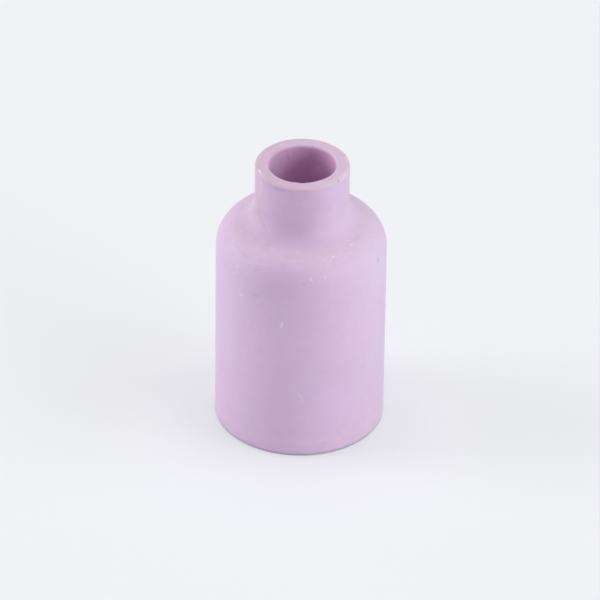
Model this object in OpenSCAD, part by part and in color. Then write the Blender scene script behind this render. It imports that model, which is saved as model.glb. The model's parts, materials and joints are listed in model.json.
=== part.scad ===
// Gas lens nozzle for a TIG welding torch: a bottle-shaped alumina gas cup.
// It stands on its threaded base with the mouth up. The origin is the centre of the base,
// +Z runs up the bore, and every size is in millimetres.

/* [Body] */
// Height from the base to the mouth
overall_length = 42; // [40:0.5:50]
// Outside diameter of the wide body
body_diameter = 24.3; // [23.5:0.1:27]
// Height at which the body's side and the shoulder's slope would meet in a sharp corner
shoulder_corner_height = 31.2; // [29:0.1:32.5]
// Radius that rounds the shoulder's outer corner
shoulder_radius = 4.6; // [3:0.1:5]

/* [Neck] */
// Outside diameter of the neck
neck_diameter = 13.4; // [12.6:0.1:14.5]
// Slope of the shoulder, in degrees up from level
shoulder_slope = 24.5; // [20:0.5:30]
// Radius of the hollow where the shoulder meets the neck
neck_radius = 3.5; // [2:0.1:4]
// Radius on the outer edge of the mouth
rim_radius = 0.4; // [0.2:0.05:0.7]

/* [Inside] */
// Diameter of the gas outlet at the mouth, a number 6 cup
outlet_diameter = 9.5; // [8:0.1:10]
// Diameter of the chamber round the gas lens
chamber_diameter = 16.4; // [15.8:0.1:16.6]
// Thickness of the shoulder, measured square to its slope
shoulder_wall = 3.2; // [2.6:0.1:3.6]
// Radius of the chamber's top corner
chamber_radius = 2.2; // [1:0.1:2.6]
// Radius where the chamber's roof runs into the gas outlet
throat_radius = 3; // [1:0.1:3.6]
// Radius on the inner edge of the mouth
mouth_edge_radius = 0.4; // [0.2:0.05:0.6]

/* [Thread] */
// Diameter across the crests of the thread in the base
thread_crest_diameter = 16.8; // [16.6:0.1:17.4]
// Length of the threaded stretch above its lead-in
thread_length = 9.8; // [8:0.1:12]
// Depth of the lead-in cone at the base
lead_in = 1.2; // [0.6:0.1:1.6]
// Radius on the outer edge of the base
base_edge_radius = 0.3; // [0.2:0.05:0.8]

/* [Hidden] */
$fn = 96;
// Overlap by which each arc crosses its edges, so that it joins them with no sliver
arc_overlap = 0.0002;

body_r = body_diameter / 2;
neck_r = neck_diameter / 2;
outlet_r = outlet_diameter / 2;
chamber_r = chamber_diameter / 2;
thread_r = thread_crest_diameter / 2;
thread_top = lead_in + thread_length;

// Height of the shoulder's outer surface at radius r, had it no rounded corners
function shoulder_height(r) = shoulder_corner_height + (body_r - r) * tan(shoulder_slope);

// Height of the chamber's roof at radius r: the same slope, one wall thickness inside
function roof_height(r) = shoulder_height(r) - shoulder_wall / cos(shoulder_slope);

// A corner's turn at point i of a closed outline: 1 to the left, -1 to the right
function turn(c, i) =
    let (a = back(c, i), b = ahead(c, i))
    sign(b[0] * a[1] - b[1] * a[0]);

// Unit directions from point i to the point before it and the point after it
function back(c, i) = unit(place(c, i - 1) - place(c, i));
function ahead(c, i) = unit(place(c, i + 1) - place(c, i));
function unit(v) = v / norm(v);
function place(c, i) = let (p = c[(i + len(c)) % len(c)]) [p[0], p[1]];

// Half the angle between a corner's two edges
function half_angle(c, i) = acos(back(c, i) * ahead(c, i)) / 2;

// Distance from a corner to the points where its arc touches the two edges
function reach(c, i) = c[i][2] / tan(half_angle(c, i));

// Centre of a corner's arc
function arc_centre(c, i) =
    place(c, i) + unit(back(c, i) + ahead(c, i)) * c[i][2] / sin(half_angle(c, i));

// Fills a closed outline of [x, y, radius] corners, listed to the left, each rounded by
// a true arc that touches both of its edges. Radius 0 leaves a corner sharp. The edge turns
// off to the arc's centre between the two touching points, and the arc's circle then fills
// the notch of an outer corner, or hollows the wedge of an inner one.
module rounded_outline(c) {
    cut = [for (i = [0 : len(c) - 1])
        each (c[i][2] == 0
            ? [place(c, i)]
            : [
                place(c, i) + back(c, i) * reach(c, i),
                arc_centre(c, i),
                place(c, i) + ahead(c, i) * reach(c, i),
            ])];
    difference() {
        union() {
            polygon(cut);
            for (i = [0 : len(c) - 1])
                if (c[i][2] > 0 && turn(c, i) > 0)
                    translate(arc_centre(c, i)) circle(c[i][2] + arc_overlap);
        }
        for (i = [0 : len(c) - 1])
            if (c[i][2] > 0 && turn(c, i) < 0)
                translate(arc_centre(c, i)) circle(c[i][2] + arc_overlap);
    }
}

// Outer surface: straight body, round shoulder corner, short cone, hollow, straight neck
module outer_outline() {
    rounded_outline([
        [0, 0, 0],
        [body_r, 0, base_edge_radius],
        [body_r, shoulder_corner_height, shoulder_radius],
        [neck_r, shoulder_height(neck_r), neck_radius],
        [neck_r, overall_length, rim_radius],
        [0, overall_length, 0],
    ]);
}

// Space inside: lead-in, thread crests, relief step, lens chamber, sloped roof, gas outlet
module inner_outline() {
    rounded_outline([
        [0, -1, 0],
        [thread_r + lead_in + 1, -1, 0],
        [thread_r, lead_in, 0],
        [thread_r, thread_top, 0],
        [chamber_r, thread_top + thread_r - chamber_r, 0],
        [chamber_r, roof_height(chamber_r), chamber_radius],
        [outlet_r, roof_height(outlet_r), throat_radius],
        [outlet_r, overall_length, mouth_edge_radius],
        [outlet_r + 2, overall_length, 0],
        [outlet_r + 2, overall_length + 1, 0],
        [0, overall_length + 1, 0],
    ]);
}

module gas_lens_nozzle() {
    color([0.85, 0.73, 0.86])
        rotate_extrude()
            difference() {
                outer_outline();
                inner_outline();
            }
}

gas_lens_nozzle();
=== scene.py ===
import json
import math

import bpy
import numpy as np
from mathutils import Matrix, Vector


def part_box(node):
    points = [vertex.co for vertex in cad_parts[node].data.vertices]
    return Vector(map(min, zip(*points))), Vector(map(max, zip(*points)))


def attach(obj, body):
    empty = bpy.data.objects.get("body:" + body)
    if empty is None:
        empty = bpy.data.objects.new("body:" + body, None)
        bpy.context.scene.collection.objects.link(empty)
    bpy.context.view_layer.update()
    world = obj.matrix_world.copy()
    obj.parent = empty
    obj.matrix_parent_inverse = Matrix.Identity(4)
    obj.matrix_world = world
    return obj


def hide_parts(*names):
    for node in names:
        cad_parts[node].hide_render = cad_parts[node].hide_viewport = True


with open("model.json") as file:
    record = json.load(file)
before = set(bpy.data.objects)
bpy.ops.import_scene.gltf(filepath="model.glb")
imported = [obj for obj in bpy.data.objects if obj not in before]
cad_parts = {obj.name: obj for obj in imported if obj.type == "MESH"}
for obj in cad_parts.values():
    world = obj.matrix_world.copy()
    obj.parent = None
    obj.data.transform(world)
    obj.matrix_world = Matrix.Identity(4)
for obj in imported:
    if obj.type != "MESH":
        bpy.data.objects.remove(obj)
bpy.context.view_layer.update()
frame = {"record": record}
mounts = {mount["name"]: mount for mount in frame["record"]["mounts"]}
mm = 0.001                                        # shapes are worked out in millimetres


cameraSet = {
    "place": (0.0, -712.7, 507.3),                # millimetres: in front of the nozzle and above it
    "aim": (-0.079, 0.0, 18.734),                 # the point in the middle of the view
    "rollDegrees": 0.796,
    "lens": 363.02,                               # a long lens
    "sensor": 36.0,
    "nearest": 0.01,                              # metres
    "farthest": 20.0,
}


def makeCamera(s):
    # ahead runs from the place to the aim, right is ahead crossed with the vertical, and up is right
    # crossed with ahead. Right and up are then turned round ahead by the roll.
    place, aim = np.array(s["place"]) * mm, np.array(s["aim"]) * mm
    ahead = (aim - place) / np.linalg.norm(aim - place)
    right = np.cross(ahead, (0.0, 0.0, 1.0))
    right /= np.linalg.norm(right)
    up = np.cross(right, ahead)
    roll = math.radians(s["rollDegrees"])
    pose = np.eye(4)
    pose[:3, 0] = math.cos(roll) * right + math.sin(roll) * up
    pose[:3, 1] = math.cos(roll) * up - math.sin(roll) * right
    pose[:3, 2], pose[:3, 3] = -ahead, place
    data = bpy.data.cameras.new("camera")
    data.lens, data.sensor_width = s["lens"], s["sensor"]
    data.clip_start, data.clip_end = s["nearest"], s["farthest"]
    camera = bpy.data.objects.new("camera", data)
    camera.matrix_world = Matrix(pose)
    bpy.context.scene.collection.objects.link(camera)
    return camera


bpy.context.scene.camera = makeCamera(cameraSet)
print("camera made")


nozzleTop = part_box("gas_lens_nozzle")[1]          # the highest corner of the solid's box

nozzleForm = {                                    # all in millimetres and degrees
    "length": nozzleTop.z / mm,
    "bodyRadius": nozzleTop.x / mm,
    "neckRadius": 6.7,
    "outletRadius": mounts["gas_outlet"]["dims"]["r_mm"],
    "chamberRadius": mounts["lens_chamber"]["dims"]["r_mm"],
    "threadRadius": mounts["lens_thread"]["dims"]["r_mm"],
    "shoulderHeight": 31.2,                       # where the side and the slope would meet
    "shoulderSlope": 24.5,
    "shoulderWall": 3.2,                          # square to the slope
    "shoulderRound": 4.6,
    "neckRound": 3.5,
    "rimRound": 0.4,
    "mouthRound": 0.4,
    "throatRound": 3.0,
    "chamberRound": 2.2,
    "baseRound": 0.3,
    "edgeRound": 0.12,                            # fired edges of the base's lead-in and the relief
    "leadIn": 1.2,
    "threadTop": 11.0,
    "threadPitch": 1.27,
    "threadDepth": 0.65,
    "threadWiden": 0.62,                          # over 0.5, the crests and roots get flats
    "around": 256,                                # points round the nozzle
    # small nicks in the rim's and the base's outer edge: angle, height, width and depth
    "nicks": [
        (-70.1, 42.0, 0.40, 0.06),
        (49.9, 42.0, 0.30, 0.07),
        (141.0, 42.0, 0.40, 0.04),
        (-128.0, 0.0, 0.55, 0.12),
        (83.0, 0.0, 0.45, 0.10),
    ],
    # the mouth isn't quite round, and its edge stands a little inward at some places: the angle of
    # the place and its reach, how far inward, and how far down it goes
    "lips": [
        (24.0, 20.0, 0.13, 1.2),
        (-10.0, 5.0, 0.12, 0.6),
        (-52.0, 18.0, 0.04, 1.2),
    ],
    "lipWidth": 0.2,                              # how far the lips go on over the rim's flat face
}


def roundedLoop(corners, arcShare=0.6, leastArc=5):
    # Closed outline through rounded corners. Each corner is (x, y, radius, step). Its arc touches
    # both edges at radius / tan(half angle) from the corner. Points on the straight run after it
    # are about one step apart, and points on the arc are that times the arc's share, or closer.
    ends = np.array([corner[:2] for corner in corners])
    radius = np.array([corner[2] for corner in corners])
    before, after = np.roll(ends, 1, axis=0) - ends, np.roll(ends, -1, axis=0) - ends
    before /= np.linalg.norm(before, axis=1)[:, None]
    after /= np.linalg.norm(after, axis=1)[:, None]
    half = np.arccos((before * after).sum(1)) / 2
    start = ends + before * (radius / np.tan(half))[:, None]
    finish = ends + after * (radius / np.tan(half))[:, None]
    middle = (before + after) / np.linalg.norm(before + after, axis=1)[:, None]
    centre = ends + middle * (radius / np.sin(half))[:, None]
    runs = []
    for i, corner in enumerate(corners):
        first, last = (math.atan2(*(point - centre[i])[::-1]) for point in (start[i], finish[i]))
        turn = (last - first + math.pi) % (2 * math.pi) - math.pi
        count = max(leastArc, math.ceil(abs(turn) * radius[i] / (arcShare * corner[3])))
        angle = first + turn * np.linspace(0, 1, count + 1)
        runs.append(centre[i] + radius[i] * np.stack([np.cos(angle), np.sin(angle)], axis=1))
        gap = start[(i + 1) % len(corners)] - finish[i]
        pieces = max(1, math.ceil(np.linalg.norm(gap) / corner[3]))
        runs.append(finish[i] + gap * (np.arange(1, pieces) / pieces)[:, None])
    return np.concatenate(runs)


def nozzleSection(f):
    # Half section of the nozzle: up the outside from the base, over the rim and down the inside.
    # The shoulder's height at radius r is its corner's height plus (body radius - r) tan(slope), and
    # the chamber's roof is one wall lower, measured square to the slope.
    slope = math.radians(f["shoulderSlope"])

    def outside(r):
        return f["shoulderHeight"] + (f["bodyRadius"] - r) * math.tan(slope)

    def roof(r):
        return outside(r) - f["shoulderWall"] / math.cos(slope)

    body, neck, outlet = f["bodyRadius"], f["neckRadius"], f["outletRadius"]
    chamber, thread, edge = f["chamberRadius"], f["threadRadius"], f["edgeRound"]
    return roundedLoop([                          # radius, height, rounding, step between points
        (thread + f["leadIn"], 0, edge, 0.3),
        (body, 0, f["baseRound"], 0.4),
        (body, f["shoulderHeight"], f["shoulderRound"], 0.4),
        (neck, outside(neck), f["neckRound"], 0.35),
        (neck, f["length"], f["rimRound"], 0.2),
        (outlet, f["length"], f["mouthRound"], 0.35),
        (outlet, roof(outlet), f["throatRound"], 0.4),
        (chamber, roof(chamber), f["chamberRound"], 0.6),
        (chamber, f["threadTop"] + thread - chamber, edge, 0.1),
        (thread, f["threadTop"], edge, 0.09),
        (thread, f["leadIn"], edge, 0.09),
    ])


def smooth(x):
    # S-curve from 0 to 1: three times the square of x, less twice its cube
    return x * x * (3 - 2 * x)


def threadWall(angle, height, f):
    # Radius of the threaded wall: a right-hand helix, so the groove's phase is height / pitch
    # less angle / full turn. A cosine, widened and clipped, gives flat crests and roots with
    # sloping flanks, and the groove runs out over the last pitch.
    phase = height / f["threadPitch"] - angle / (2 * math.pi)
    groove = np.clip(0.5 + f["threadWiden"] * np.cos(2 * math.pi * phase), 0, 1)
    runOut = np.clip((f["threadTop"] - height) / f["threadPitch"], 0, 1)
    return f["threadRadius"] + f["threadDepth"] * smooth(groove) * smooth(runOut)


def angleApart(angle, degrees):
    # angle less a place in degrees, brought into half a turn either way
    return (angle - math.radians(degrees) + math.pi) % (2 * math.pi) - math.pi


def nozzleSurface(f):
    # The section turned round the axis: x = r sin(angle), y = -r cos(angle), with angle 0 at the
    # front. Where the thread is, r is the wider of the plain wall and the thread's groove. A nick
    # sinks an edge by its depth times exp(-(distance / width) ** 4). A lip narrows the mouth by its
    # inward size times exp(-(angle apart / reach) ** 2 - (distance from the top / depth) ** 2).
    section = nozzleSection(f)
    angle = np.linspace(0, 2 * math.pi, f["around"], endpoint=False)[:, None]
    r, z = section[None, :, 0] + 0 * angle, section[None, :, 1] + 0 * angle
    r = np.where(z < f["threadTop"], np.maximum(r, threadWall(angle, z, f)), r)
    along = np.roll(section, -1, axis=0) - np.roll(section, 1, axis=0)
    along /= np.linalg.norm(along, axis=1)[:, None]
    outward = np.stack([along[:, 1], -along[:, 0]], axis=1)[None]
    sink = np.zeros_like(r)
    for degrees, height, width, depth in f["nicks"]:
        edge = f["neckRadius"] if height > f["shoulderHeight"] else f["bodyRadius"]
        across = np.hypot(angleApart(angle, degrees) * edge, np.hypot(z - height, r - edge))
        sink = sink + depth * np.exp(-(across / width) ** 4)
    r, z = r - sink * outward[..., 0], z - sink * outward[..., 1]
    for degrees, reach, inward, depth in f["lips"]:
        lip = inward * np.exp(-(angleApart(angle, degrees) / math.radians(reach)) ** 2
                              - ((f["length"] - z) / depth) ** 2)
        r = np.where(r < f["outletRadius"] + f["mouthRound"] + f["lipWidth"], r - lip, r)
    return np.stack([r * np.sin(angle), -r * np.cos(angle), z], axis=-1)


def makePiece(name, points, quads):
    # One object at the origin. Its vertices are the points, in millimetres, times one millimetre,
    # and each row of quads holds the numbers of a face's four points.
    mesh = bpy.data.meshes.new(name)
    mesh.vertices.add(len(points))
    mesh.vertices.foreach_set("co", (points * mm).astype(np.float32).ravel())
    mesh.loops.add(quads.size)
    mesh.loops.foreach_set("vertex_index", quads.ravel())
    mesh.polygons.add(len(quads))
    mesh.polygons.foreach_set("loop_start", np.arange(0, quads.size, 4))
    mesh.polygons.foreach_set("use_smooth", np.ones(len(quads), dtype=bool))
    mesh.update(calc_edges=True)
    piece = bpy.data.objects.new(name, mesh)
    bpy.context.scene.collection.objects.link(piece)
    return piece


def closedQuads(rows, columns):
    # Faces of a grid that closes on itself both ways. Each joins a point, the one in the next row,
    # the one next to that in its row, and the one next to the first, so that it faces out.
    index = np.arange(rows * columns).reshape(rows, columns)
    across = np.roll(index, -1, axis=0)
    corners = [index, across, np.roll(across, -1, axis=1), np.roll(index, -1, axis=1)]
    return np.stack(corners, axis=-1).reshape(-1, 4)


nozzleGrid = nozzleSurface(nozzleForm)
nozzleFaces = closedQuads(*nozzleGrid.shape[:2])
nozzle = makePiece("gas_lens_nozzle_body", nozzleGrid.reshape(-1, 3), nozzleFaces)
print("nozzle made,", 2 * len(nozzle.data.polygons), "triangles")


def newMaterial(name):
    # an empty material and its node tree
    material = bpy.data.materials.new(name)
    material.use_nodes = True
    material.node_tree.nodes.clear()
    return material, material.node_tree


def setSocket(tree, socket, value):
    # links the socket from another one, or writes a plain value into it
    if isinstance(value, bpy.types.NodeSocket):
        tree.links.new(value, socket)
    else:
        socket.default_value = value


def addNode(tree, kind, inputs=None, **settings):
    # one shader node; inputs holds sockets to link from, or plain values
    node = tree.nodes.new("ShaderNode" + kind)
    for name, value in settings.items():
        setattr(node, name, value)
    for name, value in (inputs or {}).items():
        setSocket(tree, node.inputs[name], value)
    return node


def blendColors(tree, share, first, second, way="MIX"):
    # first where the share is 0, second where it is 1, and their weighted mean between
    mix = addNode(tree, "Mix", data_type="RGBA", blend_type=way)
    sockets = {socket.identifier: socket for socket in mix.inputs}
    for name, value in (("Factor_Float", share), ("A_Color", first), ("B_Color", second)):
        setSocket(tree, sockets[name], value)
    return next(socket for socket in mix.outputs if socket.identifier == "Result_Color")


def tinted(tree, share, base, tint):
    # base where the share is 0, and base times the tint where it is 1
    return blendColors(tree, share, base, tint, "MULTIPLY")


def doMath(tree, operation, *values):
    # one step of arithmetic; MULTIPLY_ADD is the first times the second plus the third
    return addNode(tree, "Math", dict(enumerate(values)), operation=operation).outputs[0]


def doVector(tree, operation, *values):
    # one step on vectors, part by part
    return addNode(tree, "VectorMath", dict(enumerate(values)), operation=operation).outputs["Vector"]


def lengthOf(tree, vector):
    # root of the sum of the squares of its three parts
    return addNode(tree, "VectorMath", {0: vector}, operation="LENGTH").outputs["Value"]


def total(tree, values):
    # the first value plus each of the others in turn
    result = values[0]
    for value in values[1:]:
        result = doMath(tree, "ADD", result, value)
    return result


def spread(tree, value, low, high, outLow=0.0, outHigh=1.0):
    # low to high becomes outLow to outHigh, along an S-curve that is flat outside them
    return addNode(tree, "MapRange", {"Value": value, "From Min": low, "From Max": high, "To Min": outLow,
                                      "To Max": outHigh}, interpolation_type="SMOOTHSTEP").outputs[0]


def nearHeight(tree, height, middle, full, gone):
    # 1 within full of the middle height, falling to 0 at gone from it, all in millimetres
    apart = doMath(tree, "ABSOLUTE", doMath(tree, "SUBTRACT", height, middle * mm))
    return spread(tree, apart, full * mm, gone * mm, 1.0, 0.0)


def addNoise(tree, place, scale, detail, rough):
    # noise from 0 to 1 with a mean near 0.5, whose features are about 1 / scale across
    return addNode(tree, "TexNoise", {"Vector": place, "Scale": scale, "Detail": detail,
                                      "Roughness": rough}).outputs["Fac"]


def evenNoise(tree, place, kind):
    # noise that is alike in every direction; kind is its size in millimetres, detail and roughness
    size, detail, rough = kind
    return addNoise(tree, place, 1 / (size * mm), detail, rough)


def roundNoise(tree, direction, height, kind):
    # Noise that runs round the axis without a seam. Its place is the direction from the axis times
    # one scale, and the height times another. kind is these two, detail and roughness.
    around, up, detail, rough = kind
    level = addNode(tree, "VectorMath", {0: direction, "Scale": around}, operation="SCALE").outputs[0]
    upright = addNode(tree, "CombineXYZ", {"Z": doMath(tree, "MULTIPLY", height, up)}).outputs[0]
    return addNoise(tree, doVector(tree, "ADD", level, upright), 1.0, detail, rough)


def balanced(tree, noise, share):
    # a noise from 0 to 1 made to run from minus the share to plus the share
    return doMath(tree, "MULTIPLY_ADD", noise, 2 * share, -share)


ceramic = {                                       # lengths are in millimetres
    "color": (0.581, 0.436, 0.610, 1.0),          # dusty pink outside
    "insideColor": (0.768, 0.485, 0.740, 1.0),    # painted light: brighter, deeper pink in the bore and the chamber, for light bounced round inside
    "mouthColor": (0.662, 0.404, 0.640, 1.0),     # painted shade: darker pink on the bore's last stretch, just under the rim
    "mouthHeights": (38.4, 41.4),                 # where the bore turns from the one to the other
    "roughness": 0.6,
    "roughnessDrift": 1.5,                        # how much of the mottling goes into the roughness
    "specular": 0.3,
    "ior": 1.5,

    # inside is nearer the axis than a limit, which goes with height from the first radius to the second
    "limitHeights": (29.0, 33.5),
    "limitRadii": (9.5, 5.0),
    "limitEdge": (0.02, 0.25),                    # how far within the limit it starts and is full

    # size, detail and roughness of the even noises
    "mottleNoise": (9.0, 3.0, 0.55),
    "cloudNoise": (1.3, 4.0, 0.75),
    "grainNoise": (0.22, 2.0, 0.6),
    "fleckNoise": (0.9, 1.0, 0.5),
    "driftNoise": (14.0, 2.0, 0.5),
    # scale around, scale up, detail and roughness of the ones that run round the axis
    "streakNoise": (14.0, 60.0, 2.0, 0.6),
    "scuffNoise": (13.0, 4500.0, 3.0, 0.65),
    "lineNoise": (2.5, 3200.0, 3.0, 0.7),

    # share by which each of them changes the tone
    "mottle": 0.04,                               # slow drift of tone
    "cloud": 0.060,                               # cloudy tone, a millimetre or less across
    "grain": 0.015,
    "streaks": 0.010,                             # upright, long in height and thin around
    "scuffs": 0.06,                               # short and level, where the shoulder's edge rubs
    "scuffBand": (32.2, 0.3, 1.8),                # their height, and how far off they are full and gone
    "scuffPale": (0.56, 0.70),                    # noise from which pale scuffs start and are full
    "scuffDark": (0.44, 0.32),                    # and dark ones
    "flecks": 0.10,                               # small pale knocks on the sides and the back
    "fleckStart": (0.71, 0.77),
    "fleckDepths": (-4.0, 1.0),                   # no flecks nearer the front than this, all past that
    "boreLines": 0.10,                            # fine lines that run round the bore

    "warmTint": (1.012, 0.992, 0.995, 1.0),       # the two ends of a slow drift of hue
    "coolTint": (0.988, 1.008, 1.005, 1.0),
    "driftRange": (0.35, 0.65),                   # noise at which it is all warm and all cool
    "contactTint": (0.640, 0.712, 0.655, 1.0),    # painted shade: the dark contact line round the base's lower edge, by the floor
    "contactBand": (0.1, 0.0, 0.55),              # its height, and how far off it is full and gone
    "contactRadii": (11.3, 11.9),                 # it leaves out the base's face inside these
    "rimHeights": (41.75, 41.95),                 # where the tints of the rim's flat face start, painted light among them
    "rimLeftTint": (1.030, 1.030, 1.005, 1.0),    # painted light across the rim: darker from its left side
    "rimRightTint": (1.060, 1.075, 1.045, 1.0),   # to lighter at its right, where the lamps fall
    "rimSides": (-6.0, 6.0),
    "rimInnerTint": (1.015, 0.985, 1.010, 1.0),   # and from the bore's edge
    "rimOuterTint": (0.985, 1.005, 0.985, 1.0),   # to the outside
    "rimRadii": (5.2, 6.4),

    "bump": 0.12,
    "bumpHeight": 0.1,
    "grainRelief": 0.3,                           # how much of the grain goes into the relief
    "dentFrom": 0.12,                             # marks this strong are dents, or bumps where dark
    "markTint": (0.95, 1.3, 0.95),                # a mark bares or soils the pink, so it is nearly grey; the painted light on the rim takes it too
    "markFull": 0.3,                              # shares of a mark's half-sizes, where it is full
    "markGone": 1.4,                              # and gone
    "markThick": 0.8,                             # its half-size square to the surface

    # bands of tint round the outside, most of them painted light and shade: height, half-width and tint
    "bands": [
        (41.75, 0.40, (0.977, 0.952, 0.942, 1.0)),  # painted shade under the rim's outer edge
        (32.30, 1.20, (1.025, 1.040, 1.000, 1.0)),  # painted highlight where the shoulder's rounded edge faces the top light
        (2.20, 1.60, (1.030, 1.035, 1.000, 1.0)),
        (1.00, 0.35, (1.020, 1.025, 1.010, 1.0)),   # painted light above the base's edge, where its rounding faces the bright floor
    ],

    # soft patches of tint, several of them painted light and shade: a middle point, how much heights count
    # in the distance from it, the distances at which the tint is full and gone, and the tint
    "patches": [
        # painted shade: darker down the front left of the body
        ((-2.6, -10.0, 0.0), 0.0, 2.0, 8.0, (0.985, 0.976, 0.990, 1.0)),
        # painted sheen: paler and greyer down the right side
        ((13.0, -4.0, 0.0), 0.0, 2.0, 9.0, (1.005, 1.055, 1.010, 1.0)),
        # painted light: lighter on the front right, under the shoulder
        ((7.0, -9.9, 25.5), 0.7, 3.0, 9.0, (1.018, 1.035, 1.010, 1.0)),
        ((4.0, -6.2, 35.6), 1.0, 1.0, 4.0, (1.035, 1.018, 1.010, 1.0)),
        # painted shade: darker on the front of the neck, down to its foot
        ((-2.5, -6.0, 38.7), 1.1, 4.2, 7.5, (0.963, 0.945, 0.955, 1.0)),
        # painted shade: darker in the hollow where the neck's left side meets the shoulder
        ((-6.3, -2.6, 36.2), 0.8, 0.5, 3.2, (0.940, 0.930, 0.905, 1.0)),
        ((-6.7, -1.0, 40.0), 0.6, 2.0, 5.0, (0.985, 0.995, 0.950, 1.0)),
        # painted shade: darker on the front left, just under the shoulder's rounded edge
        ((-3.0, -11.4, 29.6), 1.0, 1.0, 4.5, (0.965, 0.940, 0.955, 1.0)),
        ((9.9, -7.0, 3.5), 0.7, 2.5, 6.0, (1.000, 0.965, 0.965, 1.0)),
        ((2.5, -11.9, 4.0), 1.0, 3.0, 9.0, (1.028, 1.002, 1.000, 1.0)),
        # painted sheen: paler and greyer on the right side, under the shoulder
        ((12.0, -3.5, 26.5), 1.2, 1.5, 6.0, (1.000, 1.040, 1.015, 1.0)),
        ((-8.6, -8.6, 16.0), 0.7, 2.0, 7.0, (1.018, 1.034, 1.014, 1.0)),
        ((11.0, -5.0, 1.4), 1.0, 0.8, 3.5, (0.962, 0.980, 0.960, 1.0)),
        ((0.0, 6.0, 42.3), 1.0, 2.5, 6.5, (0.955, 0.965, 0.950, 1.0)),
        ((-3.9, 2.7, 40.0), 1.0, 1.0, 3.2, (0.880, 0.930, 0.880, 1.0)),
    ],

    # Most marks are left by handling; ten near the end are painted light and shade on the rim's outer
    # edge.
    # pale and dark marks: angle from the front, run along the outline as outlineAt
    # takes it, half-length, half-width, turn of the long way up from level, how much paler or darker
    "marks": [
        (-70.2, 42.36, 0.50, 0.13, -1, 0.340),
        (-67.2, 41.61, 0.43, 0.38, -44, -0.050),
        (-61.3, 41.99, 1.68, 0.26, -2, 0.090),
        (58.8, 42.00, 1.83, 0.37, 5, 0.070),
        (50.3, 41.92, 0.23, 0.19, -29, -0.200),
        (-34.0, 41.37, 1.84, 0.39, 6, -0.070),
        (-35.2, 42.41, 0.66, 0.27, 14, 0.050),
        (-2.8, 41.87, 0.83, 0.18, 3, -0.030),
        (-60.3, 39.64, 1.84, 0.39, 82, 0.060),
        (-53.0, 37.43, 0.99, 0.31, -58, 0.060),
        (-52.8, 34.73, 1.28, 0.32, -24, -0.080),
        (-40.2, 34.30, 0.60, 0.22, -26, 0.070),
        (-77.8, 33.19, 0.95, 0.40, -34, -0.070),
        (-79.0, 35.08, 1.58, 0.65, 13, -0.050),
        (48.8, 32.85, 0.50, 0.17, -20, 0.120),
        (47.8, 32.48, 0.46, 0.21, -72, 0.130),
        (48.2, 32.68, 0.26, 0.17, -54, -0.100),
        (60.5, 32.62, 1.05, 0.50, 4, -0.035),
        (-32.2, 31.20, 2.83, 0.18, 10, 0.045),
        (-49.5, 28.67, 0.96, 0.16, 32, 0.065),
        (-48.2, 29.75, 0.67, 0.16, 46, 0.070),
        (-47.8, 31.53, 0.87, 0.18, -19, -0.070),
        (-59.8, 31.20, 1.21, 0.26, -4, 0.045),
        (-32.5, 30.37, 0.82, 0.17, 30, -0.060),
        (-46.2, 32.37, 0.81, 0.20, 18, 0.050),
        (-33.8, 32.78, 0.51, 0.44, 27, -0.045),
        (-19.0, 32.06, 0.46, 0.20, -25, -0.050),
        (-10.5, 32.37, 1.13, 0.19, 1, -0.050),
        (-1.5, 32.17, 0.80, 0.17, -2, 0.060),
        (-2.8, 31.54, 0.85, 0.18, 3, 0.040),
        (27.1, 32.20, 0.24, 0.21, 6, 0.170),
        (26.8, 31.94, 0.48, 0.15, -71, -0.090),
        (28.0, 31.54, 0.38, 0.14, -60, 0.090),
        (39.5, 32.28, 0.49, 0.30, -69, -0.040),
        (64.5, 29.34, 0.38, 0.33, 65, -0.170),
        (70.5, 28.64, 0.51, 0.42, 72, 0.070),
        (6.9, 30.18, 0.34, 0.18, -53, 0.190),
        (17.2, 30.25, 0.28, 0.19, -22, 0.100),
        (-43.5, 25.44, 0.50, 0.15, 26, 0.150),
        (-30.8, 26.54, 0.78, 0.28, 9, -0.080),
        (-12.4, 22.60, 0.54, 0.18, 72, 0.210),
        (-14.8, 22.50, 0.39, 0.16, 70, -0.030),
        (-37.5, 21.37, 0.48, 0.18, 80, 0.070),
        (0.2, 10.63, 0.47, 0.14, -70, 0.090),
        (3.2, 9.24, 0.64, 0.16, -1, 0.045),
        (15.8, 14.62, 0.73, 0.21, -33, -0.045),
        (-43.8, 15.88, 0.54, 0.14, 33, 0.060),
        (17.5, 1.99, 0.59, 0.33, 6, -0.050),
        (-158.7, 45.30, 0.90, 0.14, 103, 0.070),
        (-153.3, 45.35, 1.10, 0.15, 103, -0.130),
        (173.3, 45.65, 0.35, 0.10, 10, 0.150),
        (56.5, 41.45, 0.39, 0.30, 22, -0.060),
        (-61.0, 40.87, 0.34, 0.53, -64, 0.050),
        (-66.5, 38.49, 0.59, 0.30, 60, 0.060),
        (-58.2, 36.75, 0.54, 0.30, 50, 0.070),
        (-63.8, 35.91, 1.04, 0.30, 65, -0.055),
        (-55.0, 37.64, 0.31, 0.25, -36, -0.050),
        (-83.8, 34.21, 0.73, 0.44, 8, -0.050),
        (-58.8, 34.30, 0.42, 0.24, -16, -0.055),
        (-34.2, 32.90, 0.38, 0.25, 22, -0.060),
        (50.0, 32.47, 0.48, 0.21, -73, 0.060),
        (1.8, 10.24, 0.86, 0.16, -78, 0.055),
        (1.8, 29.57, 0.34, 0.21, 0, -0.050),
        (-23.5, 41.29, 0.48, 0.19, 41, -0.045),
        (62.5, 1.02, 1.05, 0.30, 11, -0.055),
        (16.0, 0.99, 0.59, 0.33, 8, -0.050),
        (28.8, 2.93, 0.45, 0.26, -62, -0.045),
        (-64.0, 0.97, 0.78, 0.25, -8, -0.050),
        # painted highlight and shade along the rim's outer edge: pale at the right and the back, dark at
        # the front and the left
        (59.0, 42.46, 1.70, 0.18, 0, 0.080),
        (80.0, 42.40, 1.20, 0.25, 0, 0.045),
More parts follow.
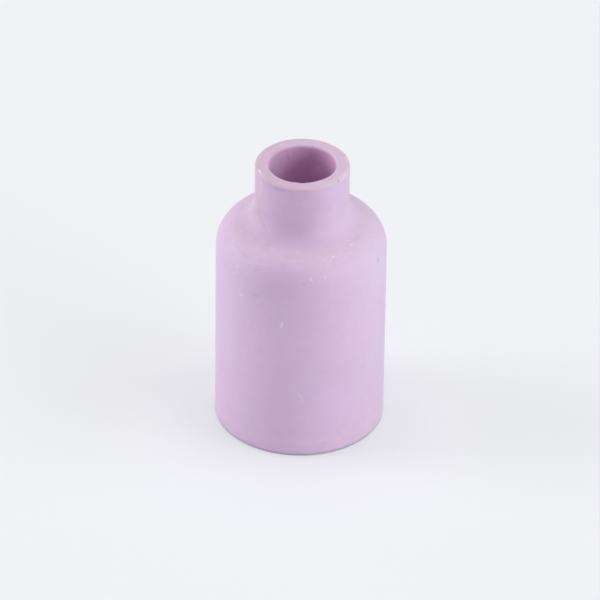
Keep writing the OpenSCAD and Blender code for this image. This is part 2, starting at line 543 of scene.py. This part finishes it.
        (100.0, 42.35, 1.30, 0.25, 0, 0.055),
        (160.0, 42.70, 1.40, 0.35, 0, 0.045),
        (-55.0, 42.35, 1.60, 0.38, 0, -0.060),
        (-32.0, 42.35, 1.50, 0.38, 0, -0.055),
        (-10.0, 42.32, 1.50, 0.20, 0, -0.045),
        (12.0, 42.28, 1.30, 0.18, 0, -0.035),
        (-80.0, 42.15, 1.20, 0.25, 0, -0.055),
        (-140.0, 42.35, 1.30, 0.25, 0, 0.060),
        (-150.0, 43.40, 1.50, 0.45, 0, 0.050),
        (-122.0, 43.40, 1.30, 0.40, 0, 0.040),
        (48.0, 43.35, 1.50, 0.35, 0, -0.040),
        (78.0, 43.50, 0.90, 0.30, 0, -0.040),
    ],
}


def outlineAt(run, f, near=0.1):
    # Radius, height and direction of the outline. The run is the height up the outside, and past
    # the top it goes on in millimetres, across the rim and then down the bore. The direction up the
    # outside is the radius a little higher less the radius a little lower, by the height between.
    over, rim = run - f["length"], f["neckRadius"] - f["outletRadius"]
    if over > rim:
        return f["outletRadius"], f["length"] - (over - rim), (0.0, -1.0)
    if over >= 0:
        return f["neckRadius"] - over, f["length"], (-1.0, 0.0)
    section = nozzleSection(f)
    outside = section[: int(np.argmax(section[:, 1]))]
    low, middle, high = np.interp((run - near, run, run + near), outside[:, 1], outside[:, 0])
    return float(middle), run, (float(high - low), 2 * near)


def markShare(tree, place, mark, s):
    # The mark's strength in the middle of its oval, falling to 0 at gone times its half-sizes. The
    # place is measured from the mark, in its own turned directions and as a share of that reach, and
    # the gradient is 1 less the length of this.
    degrees, run, long, short, tilt, strength = mark
    a, t = math.radians(degrees), math.radians(tilt)
    radius, height, (outStep, upStep) = outlineAt(run, nozzleForm)
    out = np.array([math.sin(a), -math.cos(a), 0.0])
    level = np.array([math.cos(a), math.sin(a), 0.0])
    up = (outStep * out + upStep * np.array([0.0, 0.0, 1.0])) / math.hypot(outStep, upStep)
    first = math.cos(t) * level + math.sin(t) * up
    second = math.cos(t) * up - math.sin(t) * level
    turn = Matrix(np.stack([first, second, np.cross(first, second)], axis=1))
    local = addNode(tree, "Mapping", {
        "Vector": place,
        "Location": [*(out[:2] * radius * mm), height * mm],
        "Rotation": turn.to_euler(),
        "Scale": [size * s["markGone"] * mm for size in (long, short, s["markThick"])],
    }, vector_type="TEXTURE").outputs[0]
    near = addNode(tree, "TexGradient", {"Vector": local}, gradient_type="SPHERICAL").outputs["Fac"]
    return spread(tree, near, 0.0, 1 - s["markFull"] / s["markGone"], 0.0, strength)


def scuffTone(tree, noise, height, s):
    # pale where the noise is high and dark where it is low, by the band where the edge rubs
    rubbed = nearHeight(tree, height, *s["scuffBand"])
    pale, dark = spread(tree, noise, *s["scuffPale"]), spread(tree, noise, *s["scuffDark"])
    scuff = doMath(tree, "SUBTRACT", pale, dark)
    return doMath(tree, "MULTIPLY", doMath(tree, "MULTIPLY", scuff, rubbed), s["scuffs"])


def fleckTone(tree, place, depth, s):
    # the noise's peaks, by how far back on the nozzle the place is
    back = spread(tree, depth, *(value * mm for value in s["fleckDepths"]))
    fleck = spread(tree, evenNoise(tree, place, s["fleckNoise"]), *s["fleckStart"])
    return doMath(tree, "MULTIPLY", doMath(tree, "MULTIPLY", fleck, back), s["flecks"])


def outsideColor(tree, place, height, radius, side, s):
    # The outside's colour times the drift's tint, each band's, the foot's painted shade and the rim's.
    # The rim's painted light goes from darker left to lighter right, times a tint from inner edge to
    # outer.
    drift = spread(tree, evenNoise(tree, place, s["driftNoise"]), *s["driftRange"])
    base = tinted(tree, 1.0, s["color"], blendColors(tree, drift, s["warmTint"], s["coolTint"]))
    # bands of tint, most of them painted light and shade
    for middle, width, tint in s["bands"]:
        base = tinted(tree, nearHeight(tree, height, middle, 0.0, width), base, tint)
    # painted shade: the dark line where the base's lower edge meets the floor
    contactShade = nearHeight(tree, height, *s["contactBand"])
    outer = spread(tree, radius, *(value * mm for value in s["contactRadii"]))
    base = tinted(tree, doMath(tree, "MULTIPLY", contactShade, outer), base, s["contactTint"])
    rim = spread(tree, height, *(value * mm for value in s["rimHeights"]))
    # painted light across the rim's face, darker at the left and lighter at the right, times the tint from
    # its bore's edge out
    for value, ends, first, second in ((side, "rimSides", "rimLeftTint", "rimRightTint"),
                                       (radius, "rimRadii", "rimInnerTint", "rimOuterTint")):
        across = spread(tree, value, *(end * mm for end in s[ends]))
        base = tinted(tree, rim, base, blendColors(tree, across, s[first], s[second]))
    return base


def makeCeramic(s):
    # The look is base times tone. The base is the outside's colour, or where inside is 1 the bore's, with
    # painted light deep down and painted shade under the rim, times each patch's tint. The tone is 1 plus
    # what each noise adds, plus the marks' shares times their tint.
    material, tree = newMaterial("fired_alumina")
    place = addNode(tree, "TexCoord").outputs["Object"]
    side, depth, height = addNode(tree, "SeparateXYZ", {0: place}).outputs
    flat = addNode(tree, "CombineXYZ", {"X": side, "Y": depth}).outputs[0]
    radius = lengthOf(tree, flat)

    # where it is inside
    (lowest, highest), (widest, narrowest) = s["limitHeights"], s["limitRadii"]
    limit = spread(tree, height, lowest * mm, highest * mm, widest * mm, narrowest * mm)
    inside = spread(tree, doMath(tree, "SUBTRACT", limit, radius), *(edge * mm for edge in s["limitEdge"]))

    # the tone
    mottle = balanced(tree, evenNoise(tree, place, s["mottleNoise"]), s["mottle"])
    direction = doVector(tree, "NORMALIZE", flat)
    streak = roundNoise(tree, direction, height, s["streakNoise"])
    scuff = scuffTone(tree, roundNoise(tree, direction, height, s["scuffNoise"]), height, s)
    fleck = fleckTone(tree, place, depth, s)
    grain = evenNoise(tree, place, s["grainNoise"])
    marked, dented = 0.0, 0.0
    for mark in s["marks"]:                       # each is added at once, so that few values are kept
        share = markShare(tree, place, mark, s)
        marked = doMath(tree, "ADD", marked, share)
        if abs(mark[-1]) >= s["dentFrom"]:
            dented = doMath(tree, "ADD", dented, share)
    cloud = evenNoise(tree, place, s["cloudNoise"])
    lines = balanced(tree, roundNoise(tree, direction, height, s["lineNoise"]), s["boreLines"])
    lines = doMath(tree, "MULTIPLY", lines, inside)
    tone = total(tree, [mottle, scuff, fleck, lines, 1.0] + [
        balanced(tree, noise, s[share])
        for noise, share in ((grain, "grain"), (cloud, "cloud"), (streak, "streaks"))])

    # the base
    base = outsideColor(tree, place, height, radius, side, s)
    # painted light and shade in the bore: brighter pink deep down, darker just under the rim
    mouthShadeShare = spread(tree, height, *(value * mm for value in s["mouthHeights"]))
    base = blendColors(tree, inside, base, blendColors(tree, mouthShadeShare, s["insideColor"], s["mouthColor"]))
    # the patches, several of them painted light and shade
    for middle, squash, full, gone, tint in s["patches"]:
        apart = doVector(tree, "SUBTRACT", place, [value * mm for value in middle])
        apart = lengthOf(tree, doVector(tree, "MULTIPLY", apart, (1.0, 1.0, squash)))
        base = tinted(tree, spread(tree, apart, full * mm, gone * mm, 1.0, 0.0), base, tint)
    color = doVector(tree, "MULTIPLY", base, doVector(tree, "MULTIPLY_ADD", marked, s["markTint"], tone))

    roughness = doMath(tree, "MULTIPLY_ADD", mottle, s["roughnessDrift"], s["roughness"])
    relief = [doMath(tree, "MULTIPLY", grain, s["grainRelief"]), doMath(tree, "MULTIPLY", dented, -1.0)]
    bump = addNode(tree, "Bump", {
        "Strength": s["bump"], "Distance": s["bumpHeight"] * mm, "Height": total(tree, relief)})
    surface = addNode(tree, "BsdfPrincipled", {
        "Base Color": color, "Roughness": roughness, "IOR": s["ior"],
        "Specular IOR Level": s["specular"], "Normal": bump.outputs[0]})
    addNode(tree, "OutputMaterial", {"Surface": surface.outputs[0]})
    return material


nozzle.data.materials.append(makeCeramic(ceramic))
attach(nozzle, "root")
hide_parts("gas_lens_nozzle")
print("ceramic made")


studio = {
    "backdrop": (0.871, 0.879, 0.913, 1.0),       # the pale grey-white all round
    "floorHalf": 1.5,                             # metres, half the floor's side
    "paper": (0.872, 0.885, 0.93, 1.0),
    "glow": (0.803, 0.812, 0.850, 1.0),           # light from behind the floor, which has no shadows
    "floorGlow": 0.5,                             # its share in the floor's look near the nozzle
    "nearFloor": 0.16,                            # metres from the middle, where that share starts to
    "farFloor": 0.55,                             # grow, and where the floor is all backdrop
    "ambient": 0.2,
    "ambientColor": (1.0, 0.98, 1.0, 1.0),
    "lampDistance": 0.9,                          # metres from the lamps' aim
    "lampAim": 0.02,                              # its height, the middle of the body
    # softboxes: azimuth round from the front and elevation, width and height in metres, watts, colour
    "lamps": {
        "leftBox": (-95, 14, 0.5, 0.4, 5.0, (0.97, 1.0, 0.97)),
        "leftFrontBox": (-45, 14, 0.4, 0.4, 0.5, (0.95, 0.80, 1.0)),
        "leftHighBox": (-90, 45, 0.5, 0.4, 0.8, (1.0, 0.99, 0.97)),
        "frontBox": (30, 10, 0.4, 0.4, 0.5, (0.95, 0.80, 1.0)),
        "rightFrontBox": (58, 14, 0.5, 0.4, 4.0, (0.99, 1.0, 1.0)),
        "rightHighBox": (90, 45, 0.5, 0.4, 2.1, (0.95, 1.0, 0.96)),
        "overheadBox": (0, 90, 0.6, 0.5, 1.35, (1.0, 0.97, 0.91)),
        "backHighBox": (175, 76, 0.6, 0.5, 2.1, (1.0, 0.98, 0.93)),
        "backLeftBox": (-140, 20, 0.4, 0.4, 0.4, (0.7, 1.0, 0.7)),
    },
}


def directRays(tree):
    # 1 for rays that show something to the camera, straight or in a reflection or through glass
    rays = addNode(tree, "LightPath")
    direct = doMath(tree, "MAXIMUM", rays.outputs["Is Camera Ray"], rays.outputs["Is Glossy Ray"])
    return doMath(tree, "MAXIMUM", direct, rays.outputs["Is Transmission Ray"])


def makeFloor(s):
    # A flat square sheet at height 0. It bounces light as plain pale paper. Seen by the camera it
    # is part paper, which keeps the shadows, and part lit from behind, as an acrylic sheet is. With
    # the distance from the middle it turns into the backdrop, so that no horizon shows.
    half = s["floorHalf"] / mm
    corners = np.array([[-half, -half, 0], [half, -half, 0], [half, half, 0], [-half, half, 0]])
    floor = makePiece("floor", corners, np.array([[0, 1, 2, 3]]))
    material, tree = newMaterial("paper_floor")
    away = lengthOf(tree, addNode(tree, "TexCoord").outputs["Object"])
    near, far = s["nearFloor"], s["farFloor"]
    paper = addNode(tree, "BsdfDiffuse", {"Color": s["paper"]})
    color = blendColors(tree, spread(tree, away, near, far), s["glow"], s["backdrop"])
    glow = addNode(tree, "Emission", {"Color": color, "Strength": 1.0})
    share = spread(tree, away, near, far, s["floorGlow"], 1.0)
    share = doMath(tree, "MULTIPLY", directRays(tree), share)
    seen = addNode(tree, "MixShader", {0: share, 1: paper.outputs[0], 2: glow.outputs[0]})
    addNode(tree, "OutputMaterial", {"Surface": seen.outputs[0]})
    floor.data.materials.append(material)


def makeWorld(s):
    # The camera and reflections see the backdrop's colour, and the ambient light has its own level.
    world = bpy.data.worlds.new("studio")
    world.use_nodes = True
    tree = world.node_tree
    tree.nodes.clear()
    ambient = addNode(tree, "Background", {"Color": s["ambientColor"], "Strength": s["ambient"]})
    seen = addNode(tree, "Background", {"Color": s["backdrop"], "Strength": 1.0})
    mix = addNode(tree, "MixShader", {0: directRays(tree), 1: ambient.outputs[0], 2: seen.outputs[0]})
    addNode(tree, "OutputWorld", {"Surface": mix.outputs[0]})
    bpy.context.scene.world = world


def makeLamps(s):
    # Each box stands on a sphere round the aim and faces it: x is sin(azimuth) cos(elevation), y is
    # -cos(azimuth) cos(elevation) and z is sin(elevation), all times the distance.
    for name, (azimuth, elevation, width, tall, watts, color) in s["lamps"].items():
        a, e = math.radians(azimuth), math.radians(elevation)
        outward = np.array([math.sin(a) * math.cos(e), -math.cos(a) * math.cos(e), math.sin(e)])
        data = bpy.data.lights.new(name, "AREA")
        data.shape, data.size, data.size_y = "RECTANGLE", width, tall
        data.energy, data.color = watts, color
        lamp = bpy.data.objects.new(name, data)
        lamp.location = outward * s["lampDistance"] + np.array([0, 0, s["lampAim"]])
        lamp.rotation_euler = (math.pi / 2 - e, 0.0, a)
        bpy.context.scene.collection.objects.link(lamp)


makeFloor(studio)
makeWorld(studio)
makeLamps(studio)
bpy.context.scene.view_settings.view_transform = "Standard"
print("studio made")
